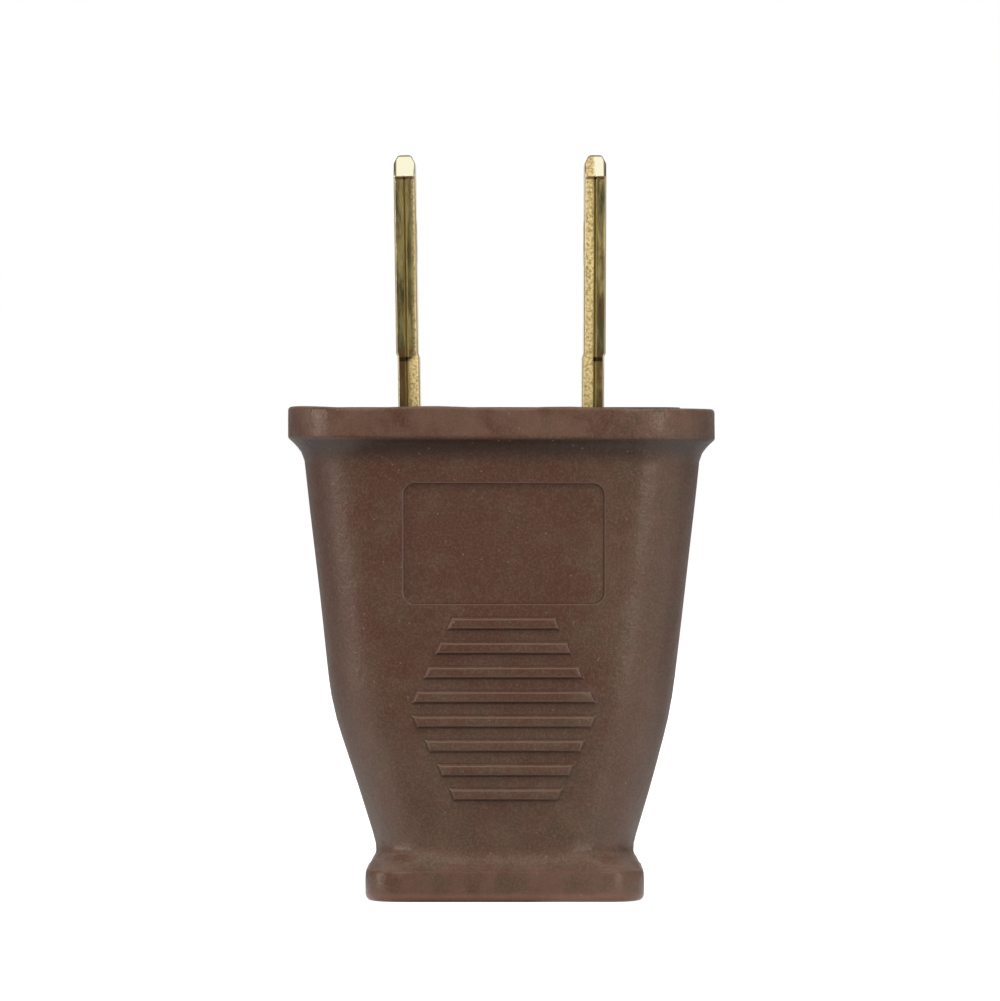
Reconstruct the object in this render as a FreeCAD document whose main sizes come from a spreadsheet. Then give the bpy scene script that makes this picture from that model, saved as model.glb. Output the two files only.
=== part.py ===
import FreeCAD, Part
import math
import os
import Sketcher

# A two-blade plug with sprung blades, standing on its cord end. Millimetres, +Z up, origin at the middle of the
# foot's underside, the label panel on the -Y side. Pinching the blade tips together swings the contact tails
# apart inside, so that a flat cord can be pushed in, and two leaf springs close them again.

os.makedirs("parts", exist_ok=True)
doc = FreeCAD.newDocument("spring_plug")

# The driving dimensions. Every cell holds a plain number, in millimetres or degrees, and its alias.
SIZES = [
    ("cover_height", 33.9, "foot to the top of the rim"),
    ("rim_face", 2.15, "upright side of the rim, along Z"),
    ("rim_cove", 1.4, "height of the hollow curve under the rim"),
    ("rim_overhang", 1.1, "how far the rim stands out from the shoulder"),
    ("rim_corner", 5.4, "plan radius of the rim's corners"),
    ("rim_lip", 0.25, "rounding of the rim's edges"),
    ("shoulder_width", 27.4, "body at the shoulder, where it starts to run out into the rim"),
    ("shoulder_depth", 13.4, "the same along Y"),
    ("bend_height", 13.3, "where the sides turn in"),
    ("bend_width", 23.6, "body at the bend, as if the bend were sharp"),
    ("bend_depth", 12.3, "the same along Y"),
    ("bend_reach", 2.0, "how far above and below the bend its rounding runs"),
    ("neck_width", 17.86, "body at the neck, where it starts to run out into the foot"),
    ("neck_depth", 10.5, "the same along Y"),
    ("body_corner", 4.8, "plan radius of the body's corners, from neck to shoulder"),
    ("foot_curve", 1.5, "height over which the neck runs out to the foot's ledge"),
    ("foot_face", 2.15, "upright side of the foot, along Z"),
    ("foot_overhang", 0.7, "how far the foot stands out from the neck"),
    ("foot_ledge", 0.2, "narrow ledge along the foot's upper edge"),
    ("foot_edge", 0.12, "rounding of that edge"),
    ("foot_corner", 2.4, "plan radius of the foot's corners"),
    ("foot_lip", 0.45, "rounding of the foot's lower edge"),
    ("cover_wall", 1.9, "wall of the cover round its hollow"),
    ("hollow_corner", 1.65, "plan radius of the hollow's corners"),
    ("cord_room_floor", 6.0, "height of the hollow's floor"),
    ("cord_room_width", 9.6, "hollow at its floor"),
    ("cord_room_depth", 5.6, "the same along Y"),
    ("cord_slot_width", 7.8, "slot for a flat two-core cord"),
    ("cord_slot_depth", 4.5, "the same along Y"),
    ("cord_slot_flat", 0.15, "flat left at each end of the slot, half its length"),
    ("label_width", 13.8, "sunk label panel, left bare"),
    ("label_under_shoulder", 1.55, "shoulder to the panel's upper edge"),
    ("label_over_bars", 0.88, "grip bars to the panel's lower edge"),
    ("label_corner", 0.8, "corner radius of the panel"),
    ("label_sink", 0.25, "how far the panel is sunk"),
    ("bar_height", 0.86, "one grip bar along Z, where it leaves the face"),
    ("bar_pitch", 1.683, "grip bar to grip bar"),
    ("bar_end_width", 7.1, "outer edge of the first and last bar"),
    ("bar_end_slope", 0.48, "how fast the bars' ends run out, per millimetre of height"),
    ("bar_rise", 0.28, "how far a bar stands out"),
    ("bar_draft", 25.0, "slope of a bar's edges, in degrees"),
    ("bar_root", 0.2, "how deep a bar is rooted in the body"),
    ("seat_ledge", 0.6, "ledge of the cover under the edge of the core's face plate"),
    ("plate_thickness", 2.5, "face plate of the core, along Z"),
    ("plate_proud", 0.15, "how far the plate stands above the rim"),
    ("plate_lip", 0.2, "chamfer of the plate's top edge"),
    ("seat_gap", 0.05, "clearance of the core in the cover"),
    ("snap_rise", 0.35, "snap rib on each end of the plate"),
    ("snap_height", 1.2, "snap rib along Z"),
    ("snap_length", 6.0, "snap rib along Y"),
    ("cage_lift", 1.75, "open end of the cage under the plate, above the bend"),
    ("cage_gap", 0.3, "clearance of the cage in the cover's hollow"),
    ("cage_wall", 0.9, "end walls of the cage at its open end"),
    ("divider", 1.2, "wall between the chambers"),
    ("cord_gate", 3.0, "way in for one core of the cord, beside the divider"),
    ("sill", 0.9, "floor of each chamber"),
    ("peg_across", 1.2, "locating pegs between the core's halves"),
    ("peg_length", 1.2, "length of a peg"),
    ("blade_spacing", 12.7, "blade to blade at the face"),
    ("blade_thickness", 1.5, "two layers of strip"),
    ("blade_width", 6.35, "blade along Y"),
    ("blade_length", 17.7, "blade above the rim"),
    ("blade_tip_cut", 1.55, "length of the cut corners at the tip"),
    ("blade_tip_inset", 1.3, "how far the tip's corners are cut in"),
    ("blade_tip_bevel", 0.28, "how far the tip's flat sides come in"),
    ("blade_tip_run", 0.6, "over what length they come in"),
    ("blade_hole", 3.2, "hole through each blade"),
    ("blade_hole_height", 11.7, "hole above the rim"),
    ("crimp_height", 3.7, "small step in the blade above the rim"),
    ("crimp_step", 0.1, "size of that step"),
    ("crimp_run", 0.2, "height over which it steps"),
    ("seam_width", 0.2, "seam between the two layers, on the blade's narrow sides"),
    ("seam_depth", 0.12, "depth of that seam"),
    ("lean_left", 0.85, "left blade's lean outwards at rest, in degrees"),
    ("lean_right", 0.25, "right blade's lean outwards at rest, in degrees"),
    ("blade_swing", 10.0, "how far a pinched blade swings in, in degrees"),
    ("slot_gap", 0.06, "clearance of a blade in its slot at the pivot"),
    ("slot_side_gap", 0.12, "clearance of a blade in its slot, along Y"),
    ("slot_slack", 1.6, "slope of a slot's resting walls, in degrees"),
    ("trunnion_stub", 0.8, "each trunnion beyond the blade's narrow side"),
    ("trunnion_gap", 0.05, "clearance round a trunnion"),
    ("shoulder_drop", 1.9, "end of the doubled strip below the pivot"),
    ("tail_start", 2.7, "first bend of the tail below the pivot"),
    ("tail_angle", 30.0, "slope of the tail's middle stretch, in degrees"),
    ("tail_place", 3.4, "inner side of the tail from the plug's middle"),
    ("tail_clear", 2.35, "end of the tail above the cage's open end"),
    ("tail_width", 4.8, "tail along Y"),
    ("tooth_gap", 0.8, "teeth to the divider, before the blade leans"),
    ("tooth_depth", 1.0, "depth of its teeth"),
    ("tooth_pitch", 1.4, "tooth to tooth"),
    ("spring_thickness", 0.25, "leaf spring strip"),
    ("spring_width", 4.4, "leaf spring along Y"),
    ("spring_foot_gap", 0.6, "lower end of the spring above the sill"),
    ("spring_gap", 0.05, "clearance at the spring's ends and crest"),
]

sheet = doc.addObject("Spreadsheet::Sheet", "Sizes")


class Size:
    """A number of the sheet, or one worked out from it: its expression, and its value now."""

    def __init__(self, text, value):
        self.text = text
        self.value = value

    def __add__(self, other):
        other = as_size(other)
        return Size(f"({self.text} + {other.text})", self.value + other.value)

    def __sub__(self, other):
        other = as_size(other)
        return Size(f"({self.text} - {other.text})", self.value - other.value)

    def __mul__(self, other):
        other = as_size(other)
        return Size(f"({self.text} * {other.text})", self.value * other.value)

    def __truediv__(self, other):
        other = as_size(other)
        return Size(f"({self.text} / {other.text})", self.value / other.value)

    def __neg__(self):
        return Size(f"(0 - {self.text})", -self.value)


def as_size(number):
    return number if isinstance(number, Size) else Size(repr(float(number)), float(number))


def tangent(angle):
    return Size(f"tan({angle.text} * 1 deg)", math.tan(math.radians(angle.value)))


def sine(angle):
    return Size(f"sin({angle.text} * 1 deg)", math.sin(math.radians(angle.value)))


def root(size):
    return Size(f"sqrt({size.text})", math.sqrt(size.value))


def slope_angle(rise):
    return Size(f"(atan({rise.text}) / 1 deg)", math.degrees(math.atan(rise.value)))


size = {}
for row, (alias, number, meaning) in enumerate(SIZES, start=1):
    sheet.set(f"A{row}", meaning)
    sheet.set(f"B{row}", str(number))
    sheet.setAlias(f"B{row}", alias)
    size[alias] = Size(f"Sizes.{alias}", float(number))
doc.recompute()


def bind(thing, name, wanted):
    """Set a property now, and keep it bound to the sheet."""
    thing.setExpression(name, as_size(wanted).text)


def new_body(name):
    return doc.addObject("PartDesign::Body", name)


def origin_plane(body, role):
    return [plane for plane in body.Origin.OriginFeatures if plane.Role == role][0]


def new_sketch(body, name, role, offset=0.0, tilt=None, rise=0.0):
    """A sketch on one of the body's own planes, moved off it by an offset along the plane's normal.

    A tilt turns it about the plane's X axis, and a rise then moves it up the plane.
    """
    sketch = body.newObject("Sketcher::SketchObject", name)
    sketch.AttachmentSupport = [(origin_plane(body, role), "")]
    sketch.MapMode = "FlatFace"
    sketch.AttachmentOffset = FreeCAD.Placement(
        FreeCAD.Vector(0, 0, 0), FreeCAD.Rotation(FreeCAD.Vector(1, 0, 0), 0)
    )
    bind(sketch, "AttachmentOffset.Base.z", offset)
    bind(sketch, "AttachmentOffset.Base.y", rise)
    if tilt is not None:
        bind(sketch, "AttachmentOffset.Rotation.Angle", tilt)
    return sketch


def pin_point(sketch, edge, end, point):
    """Hold one end of an edge at a point given by two sizes."""
    for kind, coordinate in zip(("DistanceX", "DistanceY"), point):
        coordinate = as_size(coordinate)
        number = sketch.addConstraint(Sketcher.Constraint(kind, -1, 1, edge, end, coordinate.value))
        sketch.setExpression(f"Constraints[{number}]", coordinate.text)


def draw_polygon(sketch, points):
    """A closed outline of straight lines, each corner held by two sizes."""
    spots = [FreeCAD.Vector(as_size(x).value, as_size(y).value, 0) for x, y in points]
    first = sketch.GeometryCount
    count = len(points)
    for here in range(count):
        sketch.addGeometry(Part.LineSegment(spots[here], spots[(here + 1) % count]), False)
    for here in range(count):
        sketch.addConstraint(
            Sketcher.Constraint("Coincident", first + here, 2, first + (here + 1) % count, 1)
        )
        pin_point(sketch, first + here, 1, points[here])


def draw_rounded(sketch, width, height, corner, middle=0.0):
    """A rounded rectangle: four lines, and four arcs whose centres and radius are held by sizes."""
    half_width, half_height = width / 2, height / 2
    middle = as_size(middle)
    for turn, (side_x, side_y) in enumerate(((1, 1), (-1, 1), (-1, -1), (1, -1))):
        centre = ((half_width - corner) * side_x, (half_height - corner) * side_y + middle)
        spot = FreeCAD.Vector(centre[0].value, centre[1].value, 0)
        start = turn * math.pi / 2
        circle = Part.Circle(spot, FreeCAD.Vector(0, 0, 1), corner.value)
        sketch.addGeometry(Part.ArcOfCircle(circle, start, start + math.pi / 2), False)
        pin_point(sketch, turn, 3, centre)
        number = sketch.addConstraint(Sketcher.Constraint("Radius", turn, corner.value))
        sketch.setExpression(f"Constraints[{number}]", corner.text)
    for turn in range(4):
        following = (turn + 1) % 4
        start = sketch.getPoint(turn, 2)
        end = sketch.getPoint(following, 1)
        line = sketch.addGeometry(Part.LineSegment(start, end), False)
        sketch.addConstraint(Sketcher.Constraint("Tangent", turn, 2, line, 1))
        sketch.addConstraint(Sketcher.Constraint("Tangent", line, 2, following, 1))


def draw_circle(sketch, across, x, y):
    x, y, radius = as_size(x), as_size(y), across / 2
    spot = FreeCAD.Vector(x.value, y.value, 0)
    edge = sketch.addGeometry(Part.Circle(spot, FreeCAD.Vector(0, 0, 1), radius.value), False)
    pin_point(sketch, edge, 3, (x, y))
    number = sketch.addConstraint(Sketcher.Constraint("Radius", edge, radius.value))
    sketch.setExpression(f"Constraints[{number}]", radius.text)


def extrude(body, kind, name, sketch, length, both_ways=False, backwards=False, draft=None):
    """A Pad or a Pocket of a sketch, by a length, to one side or half to each side."""
    feature = body.newObject(f"PartDesign::{kind}", name)
    feature.Profile = sketch
    feature.SideType = "Symmetric" if both_ways else "One side"
    feature.Reversed = backwards
    bind(feature, "Length", length)
    if draft is not None:
        bind(feature, "TaperAngle", draft)
    doc.recompute()
    return feature


def mirror(body, name, features, role):
    feature = body.newObject("PartDesign::Mirrored", name)
    feature.Originals = features
    feature.MirrorPlane = (origin_plane(body, role), [""])
    body.Tip = feature
    doc.recompute()
    return feature


def outline_edges(shape, height, width, depth, corner):
    """The edges of a level rounded rectangle of a given size, in a shape."""
    found = []
    for number, edge in enumerate(shape.Edges, start=1):
        box = edge.BoundBox
        if abs(box.ZMin - height.value) > 1e-4 or abs(box.ZMax - height.value) > 1e-4:
            continue
        middle = edge.valueAt((edge.FirstParameter + edge.LastParameter) / 2)
        past_x = abs(middle.x) - (width.value / 2 - corner.value)
        past_y = abs(middle.y) - (depth.value / 2 - corner.value)
        reach = math.hypot(max(past_x, 0.0), max(past_y, 0.0))
        if abs(reach - corner.value) < 1e-3:
            found.append(f"Edge{number}")
    return found


def chamfer_outline(body, name, outline, amount):
    """A chamfer along the edges of one level outline of a body."""
    base = body.Tip
    feature = body.newObject("PartDesign::Chamfer", name)
    feature.Base = (base, outline_edges(base.Shape, *outline))
    bind(feature, "Size", amount)
    doc.recompute()


# The core's place, which the cover's seat and the blades both follow.
plate_top = size["cover_height"] + size["plate_proud"]
plate_under = plate_top - size["plate_thickness"]
pivot_height = plate_top - size["plate_thickness"] / 2
pivot_place = size["blade_spacing"] / 2
rim_width = size["shoulder_width"] + size["rim_overhang"] * 2
rim_depth = size["shoulder_depth"] + size["rim_overhang"] * 2


# The cover: one soft vinyl moulding. Its outside is one loft through level rounded rectangles, from the foot by
# the neck and the bend to the rim. The grip bars and the bare label panel lie on it, and the core in its hollow.
neck_height = size["foot_face"] + size["foot_curve"]
rim_under = size["cover_height"] - size["rim_face"]
shoulder_height = rim_under - size["rim_cove"]

# Half the body's width and half its depth, each at the neck, the bend and the shoulder.
WIDTH = (size["neck_width"] / 2, size["bend_width"] / 2, size["shoulder_width"] / 2)
DEPTH = (size["neck_depth"] / 2, size["bend_depth"] / 2, size["shoulder_depth"] / 2)

BEND_STEPS = (-1.0, -0.4, 0.4, 1.0)
CURVE_STEPS = (0.0, 0.25, 0.5, 0.75, 1.0)
COVE_STEPS = (0.0, 0.4, 0.65, 0.85)
COVE_EDGE = 60
LIP_ANGLES = (30, 60, 90)


def growth(side, below):
    """How fast half the width or depth grows with height, below or above the bend."""
    neck, bend, shoulder = side
    if below:
        return (bend - neck) / (size["bend_height"] - neck_height)
    return (shoulder - bend) / (shoulder_height - size["bend_height"])


def straight(side, height, below):
    """Half the width or depth at a height, on one of its two straight stretches."""
    return side[1] + (height - size["bend_height"]) * growth(side, below)


def bent(side, share):
    """Half the width or depth on the rounding of the bend, at a share of its reach from -1 to 1."""
    above, below = growth(side, False), growth(side, True)
    along = (above + below) / 2 * share + (above - below) / 4 * (share * share + 1)
    return side[1] + size["bend_reach"] * along


def run_out(height, mix, below, ends):
    """A section on its way from the body to the foot or the rim, at a share of that way."""
    half_width = straight(WIDTH, height, below) * (1 - mix) + ends[0] * mix
    half_depth = straight(DEPTH, height, below) * (1 - mix) + ends[1] * mix
    return (height, half_width * 2, half_depth * 2, size["body_corner"] * (1 - mix) + ends[2] * mix)


def lip(angle, edge, way, radius, ends):
    """The section at an angle of the rounding by which the foot or the rim ends."""
    inset = radius * (1 - math.cos(math.radians(angle)))
    height = edge + radius * ((1 - math.sin(math.radians(angle))) * way)
    return (height, (ends[0] - inset) * 2, (ends[1] - inset) * 2, ends[2] - inset)


cover = new_body("cover")


def loft(body, kind, name, sections):
    """A loft with straight sides through level rounded rectangles: height, width, depth and corner radius."""
    sketches = []
    for number, (height, width, depth, corner) in enumerate(sections):
        sketch = new_sketch(body, f"{name}_section_{number}", "XY_Plane", height)
        draw_rounded(sketch, width, depth, corner)
        sketches.append(sketch)
    doc.recompute()
    feature = body.newObject(f"PartDesign::{kind}Loft", name)
    feature.Profile = sketches[0]
    feature.Sections = sketches[1:]
    feature.Ruled = True
    doc.recompute()


foot_ends = (WIDTH[0] + size["foot_overhang"], DEPTH[0] + size["foot_overhang"], size["foot_corner"])
rim_ends = (WIDTH[2] + size["rim_overhang"], DEPTH[2] + size["rim_overhang"], size["rim_corner"])

ledge_ends = (foot_ends[0] - size["foot_ledge"], foot_ends[1] - size["foot_ledge"], size["foot_corner"])
cove_top = rim_under + size["rim_lip"] * (1 - math.sin(math.radians(COVE_EDGE)))
cove_inset = size["rim_lip"] * (1 - math.cos(math.radians(COVE_EDGE)))
cove_ends = tuple(end - cove_inset for end in rim_ends)

# From the bottom: the foot's rounded lower edge and its face, its upper edge, and the S-shaped neck.
outside = [lip(angle, as_size(0.0), 1, size["foot_lip"], foot_ends) for angle in reversed(LIP_ANGLES)]
outside.append((size["foot_lip"], foot_ends[0] * 2, foot_ends[1] * 2, foot_ends[2]))
outside.append((size["foot_face"] - size["foot_edge"], foot_ends[0] * 2, foot_ends[1] * 2, foot_ends[2]))
outside.append(lip(45, size["foot_face"], -1, size["foot_edge"], foot_ends))
outside.append(lip(90, size["foot_face"], -1, size["foot_edge"], foot_ends))
for share in reversed(CURVE_STEPS):
    height = neck_height - (size["foot_curve"] - size["foot_edge"] / 4) * share
    outside.append(run_out(height, (1 - math.cos(math.pi * share)) / 2, True, ledge_ends))

# The rounded bend, and the cove, which is a parabola, under the rim.
for share in BEND_STEPS:
    bend_place = size["bend_height"] + size["bend_reach"] * share
    outside.append((bend_place, bent(WIDTH, share) * 2, bent(DEPTH, share) * 2, size["body_corner"]))
for share in COVE_STEPS:
    height = shoulder_height + (cove_top - shoulder_height) * share
    outside.append(run_out(height, share * share, False, cove_ends))
outside += [lip(angle, rim_under, 1, size["rim_lip"], rim_ends) for angle in (COVE_EDGE, COVE_EDGE / 2)]
for height in (rim_under + size["rim_lip"], size["cover_height"] - size["rim_lip"]):
    outside.append((height, rim_ends[0] * 2, rim_ends[1] * 2, rim_ends[2]))
outside += [lip(angle, size["cover_height"], -1, size["rim_lip"], rim_ends) for angle in LIP_ANGLES]
loft(cover, "Additive", "moulded_outside", outside)


def face_sketch(name, height, below, inwards):
    """A sketch that lies along the body's front face at a height, sunk into the body by a distance."""
    return new_sketch(
        cover,
        name,
        "XZ_Plane",
        straight(DEPTH, height, below) - inwards,
        tilt=slope_angle(growth(DEPTH, below)),
        rise=height,
    )


# The grip bars lie in two groups of four, on the straight stretches above and below the bend. Their ends run out
# to the bars nearest the bend, so that together they make a diamond.
BARS_EACH_WAY = 4
bars_reach = size["bar_pitch"] * (BARS_EACH_WAY - 0.5) + size["bar_height"] / 2


def grip_bars(name, below):
    """One group of bars on the front face, and the same on the back. Their sloping edges start at the root."""
    way = -1 if below else 1
    outline = face_sketch(f"{name}_outline", size["bend_height"], below, size["bar_root"])
    skirt = size["bar_root"] * tangent(size["bar_draft"])
    for number in range(BARS_EACH_WAY):
        far = size["bar_pitch"] * (number + 0.5) + size["bar_height"] / 2
        near = far - size["bar_height"]
        far_half = size["bar_end_width"] / 2 + (bars_reach - far) * size["bar_end_slope"] + skirt
        near_half = size["bar_end_width"] / 2 + (bars_reach - near) * size["bar_end_slope"] + skirt
        draw_polygon(
            outline,
            [
                (-near_half, (near - skirt) * way),
                (near_half, (near - skirt) * way),
                (far_half, (far + skirt) * way),
                (-far_half, (far + skirt) * way),
            ],
        )
    bars = extrude(
        cover, "Pad", name, outline, size["bar_rise"] + size["bar_root"], draft=-size["bar_draft"]
    )
    mirror(cover, f"{name}_back", [bars], "XZ_Plane")


grip_bars("upper_grip_bars", False)
grip_bars("lower_grip_bars", True)

label_bottom = size["bend_height"] + bars_reach + size["label_over_bars"]
label_height = shoulder_height - size["label_under_shoulder"] - label_bottom
label_middle = label_bottom + label_height / 2
label_outline = face_sketch("label_outline", label_middle, False, as_size(0.0))
draw_rounded(label_outline, size["label_width"], label_height, size["label_corner"])
extrude(cover, "Pocket", "label_panel", label_outline, size["label_sink"])


def hollow_half(side, height):
    """Half the hollow's width or depth at a height above the bend, one wall inside the body."""
    return straight(side, height, False) - size["cover_wall"]


def hollow_section(height):
    return (height, hollow_half(WIDTH, height) * 2, hollow_half(DEPTH, height) * 2, size["hollow_corner"])


room_section = (
    size["cord_room_floor"],
    size["cord_room_width"],
    size["cord_room_depth"],
    size["hollow_corner"],
)
loft(
    cover,
    "Subtractive",
    "hollow",
    [room_section, hollow_section(size["bend_height"]), hollow_section(plate_under)],
)

plate_width = (hollow_half(WIDTH, plate_under) + size["seat_ledge"]) * 2
plate_depth = (hollow_half(DEPTH, plate_under) + size["seat_ledge"]) * 2
plate_corner = size["hollow_corner"] + size["seat_ledge"]
gap_both = size["seat_gap"] * 2
seat_outline = new_sketch(cover, "seat_outline", "XY_Plane", plate_under)
draw_rounded(seat_outline, plate_width + gap_both, plate_depth + gap_both, plate_corner + size["seat_gap"])
extrude(cover, "Pocket", "plate_seat", seat_outline, size["plate_thickness"] * 2, backwards=True)

slot_outline = new_sketch(cover, "cord_slot_outline", "XY_Plane", size["cord_room_floor"])
slot_corner = size["cord_slot_depth"] / 2 - size["cord_slot_flat"]
draw_rounded(slot_outline, size["cord_slot_width"], size["cord_slot_depth"], slot_corner)
extrude(cover, "Pocket", "cord_slot", slot_outline, size["cord_room_floor"])


def snap_points(gap):
    """The snap rib's section at the plate's right end, grown by a gap for its notch in the cover."""
    end = plate_width / 2
    half = size["snap_height"] / 2 + gap
    return [
        (end - size["snap_rise"], pivot_height - half),
        (end, pivot_height - half),
        (end + size["snap_rise"] + gap, pivot_height - half / 3),
        (end + size["snap_rise"] + gap, pivot_height + half / 3),
        (end, pivot_height + half),
        (end - size["snap_rise"], pivot_height + half),
    ]


notch_outline = new_sketch(cover, "snap_notch_outline", "XZ_Plane")
draw_polygon(notch_outline, snap_points(size["seat_gap"]))
notch = extrude(cover, "Pocket", "snap_notch", notch_outline, size["snap_length"] + gap_both, both_ways=True)
mirror(cover, "snap_notch_left", [notch], "YZ_Plane")


# The core: a face plate with a cage under it, moulded in two halves that close round the blades' trunnions and
# the springs. It is drawn whole and then parted along the middle of its depth.

core = new_body("core_whole")

plate_outline = new_sketch(core, "plate_outline", "XY_Plane", plate_under)
draw_rounded(plate_outline, plate_width, plate_depth, plate_corner)
extrude(core, "Pad", "plate", plate_outline, size["plate_thickness"])
plate_edge = (plate_top, plate_width, plate_depth, plate_corner)
chamfer_outline(core, "plate_edge", plate_edge, size["plate_lip"])

cage_bottom = size["bend_height"] + size["cage_lift"]
cage_sections = []
for height in (cage_bottom, plate_under):
    half_width = hollow_half(WIDTH, height) - size["cage_gap"]
    half_depth = hollow_half(DEPTH, height) - size["cage_gap"]
    cage_sections.append((height, half_width * 2, half_depth * 2, size["hollow_corner"] - size["cage_gap"]))
loft(core, "Additive", "cage", cage_sections)

snap_outline = new_sketch(core, "snap_rib_outline", "XZ_Plane")
draw_polygon(snap_outline, snap_points(as_size(0.0)))
snap = extrude(core, "Pad", "snap_rib", snap_outline, size["snap_length"], both_ways=True)
mirror(core, "snap_rib_left", [snap], "YZ_Plane")

# One chamber: open at the bottom beside the divider, with a sill, and with the blade's slot through the plate.
# The slot is narrowest at the pivot, and opens above and below it by the angle that the blade swings.
half_slot = size["blade_thickness"] / 2 + size["slot_gap"]
plate_half = size["plate_thickness"] / 2
swing_room = plate_half * tangent(size["blade_swing"])
rest_room = plate_half * tangent(size["slot_slack"])
overrun = size["plate_proud"] * 2
gate_edge = size["divider"] / 2 + size["cord_gate"]
chamber_side = hollow_half(WIDTH, cage_bottom) - size["cage_gap"] - size["cage_wall"]
chamber_outline = new_sketch(core, "chamber_outline", "XZ_Plane")
draw_polygon(
    chamber_outline,
    [
        (size["divider"] / 2, cage_bottom - overrun),
        (gate_edge, cage_bottom - overrun),
        (gate_edge, cage_bottom + size["sill"]),
        (chamber_side, cage_bottom + size["sill"]),
        (chamber_side, plate_under),
        (pivot_place + half_slot + swing_room, plate_under),
        (pivot_place + half_slot, pivot_height),
        (pivot_place + half_slot + rest_room, plate_top + overrun),
        (pivot_place - half_slot - swing_room, plate_top + overrun),
        (pivot_place - half_slot, pivot_height),
        (pivot_place - half_slot - rest_room, plate_under),
        (size["divider"] / 2, plate_under),
    ],
)
chamber_depth = size["blade_width"] + size["slot_side_gap"] * 2
chamber = extrude(core, "Pocket", "chamber", chamber_outline, chamber_depth, both_ways=True)
mirror(core, "chamber_left", [chamber], "YZ_Plane")

bearing_outline = new_sketch(core, "bearing_outline", "XZ_Plane")
bearing_across = size["blade_thickness"] + size["trunnion_gap"] * 2
draw_circle(bearing_outline, bearing_across, pivot_place, pivot_height)
trunnions_across = size["blade_width"] + size["trunnion_stub"] * 2
bearing_depth = trunnions_across + size["slot_side_gap"] * 2
bearing = extrude(core, "Pocket", "bearing", bearing_outline, bearing_depth, both_ways=True)
mirror(core, "bearing_left", [bearing], "YZ_Plane")


def half_of_core(name, front):
    """One half of the core: what the whole has in common with a block on one side of the parting plane."""
    block = doc.addObject("Part::Box", f"{name}_block")
    bind(block, "Length", rim_width)
    bind(block, "Width", rim_depth)
    bind(block, "Height", size["cover_height"] * 2)
    bind(block, "Placement.Base.x", -rim_width / 2)
    bind(block, "Placement.Base.y", -rim_depth if front else as_size(0.0))
    half = doc.addObject("Part::Common", f"{name}_half")
    half.Base = core
    half.Tool = block
    return half


peg_place = (pivot_place + half_slot + plate_width / 2) / 2


def peg(name, side, across, length, front_root):
    """A peg, or the hole for one, across the parting plane, midway between a slot and the plate's end."""
    pin = doc.addObject("Part::Cylinder", name)
    bind(pin, "Radius", across / 2)
    bind(pin, "Height", length + front_root)
    pin.Placement = FreeCAD.Placement(FreeCAD.Vector(0, 0, 0), FreeCAD.Rotation(FreeCAD.Vector(1, 0, 0), -90))
    bind(pin, "Placement.Base.x", peg_place * side)
    bind(pin, "Placement.Base.y", -front_root)
    bind(pin, "Placement.Base.z", pivot_height)
    return pin


def joined(name, kind, pieces):
    feature = doc.addObject(f"Part::{kind}", name)
    feature.Shapes = pieces
    return feature


core_front_half = half_of_core("core_front", True)
core_back_half = half_of_core("core_back", False)
pegs = [
    peg(f"peg_{word}", side, size["peg_across"], size["peg_length"], size["peg_length"])
    for word, side in (("left", -1), ("right", 1))
]
core_front = joined("core_front", "MultiFuse", [core_front_half] + pegs)
holes = [
    peg(f"peg_hole_{word}", side, size["peg_across"] + gap_both, size["peg_length"] + size["seat_gap"], overrun)
    for word, side in (("left", -1), ("right", 1))
]
core_back = doc.addObject("Part::Cut", "core_back")
core_back.Base = core_back_half
core_back.Tool = joined("peg_holes", "MultiFuse", holes)


# The blades: brass strip folded double, with a single tail below the pivot that steps in towards the divider
# and ends in a toothed lip. Each is drawn about its own pivot and then leant outwards.
strip = size["blade_thickness"] / 2
tail_step = pivot_place - strip - size["tail_place"]
tail_bend = size["tail_start"] + tail_step / tangent(size["tail_angle"])
tail_length = pivot_height - cage_bottom - size["tail_clear"]
tooth_reach = size["tail_place"] - size["divider"] / 2 - size["tooth_gap"]
blade_tip = size["cover_height"] + size["blade_length"] - pivot_height


def blade_profile(side):
    """The blade's and tail's outline seen edge on, for the side of the plug that it is on."""
    half = strip
    step = size["crimp_step"]
    crimp = size["cover_height"] + size["crimp_height"] - pivot_height
    run = blade_tip - size["blade_tip_run"]
    bevel = size["blade_tip_bevel"]
    mitre = strip / 2 * tangent(size["tail_angle"] / 2)
    first = -size["tail_start"]
    second = -tail_bend
    inner = -half - tail_step
    outer = inner + strip
    lip = inner - tooth_reach
    end = -tail_length
    points = [
        (as_size(0.0), -size["shoulder_drop"]),
        (half, -size["shoulder_drop"]),
        (half, crimp),
        (half + step, crimp + size["crimp_run"]),
        (half + step, run),
        (half + step - bevel, blade_tip),
        (step - half + bevel, blade_tip),
        (step - half, run),
        (step - half, crimp + size["crimp_run"]),
        (-half, crimp),
        (-half, first + mitre),
        (inner, second + mitre),
        (inner, end + strip),
        (lip, end + strip),
        (lip, end),
        (outer, end),
        (outer, second - mitre),
        (as_size(0.0), first - mitre),
    ]
    return [(x * side, z) for x, z in points]


def side_cuts(sign):
    """What is trimmed off one narrow side: the tip's corner, and the strip beside the narrower tail."""
    edge = size["blade_width"] / 2
    outside = edge + size["slot_side_gap"]
    cut = blade_tip - size["blade_tip_cut"]
    above = blade_tip + size["blade_tip_cut"]
    inset = edge - size["blade_tip_inset"]
    tail = size["tail_width"] / 2
    top = -size["tail_start"]
    below = -tail_length - size["blade_thickness"]
    corner = [(edge, cut), (outside, cut), (outside, above), (inset, above), (inset, blade_tip)]
    beside_tail = [(tail, below), (outside, below), (outside, top), (tail, top)]
    return [[(y * sign, z) for y, z in outline] for outline in (corner, beside_tail)]


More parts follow.
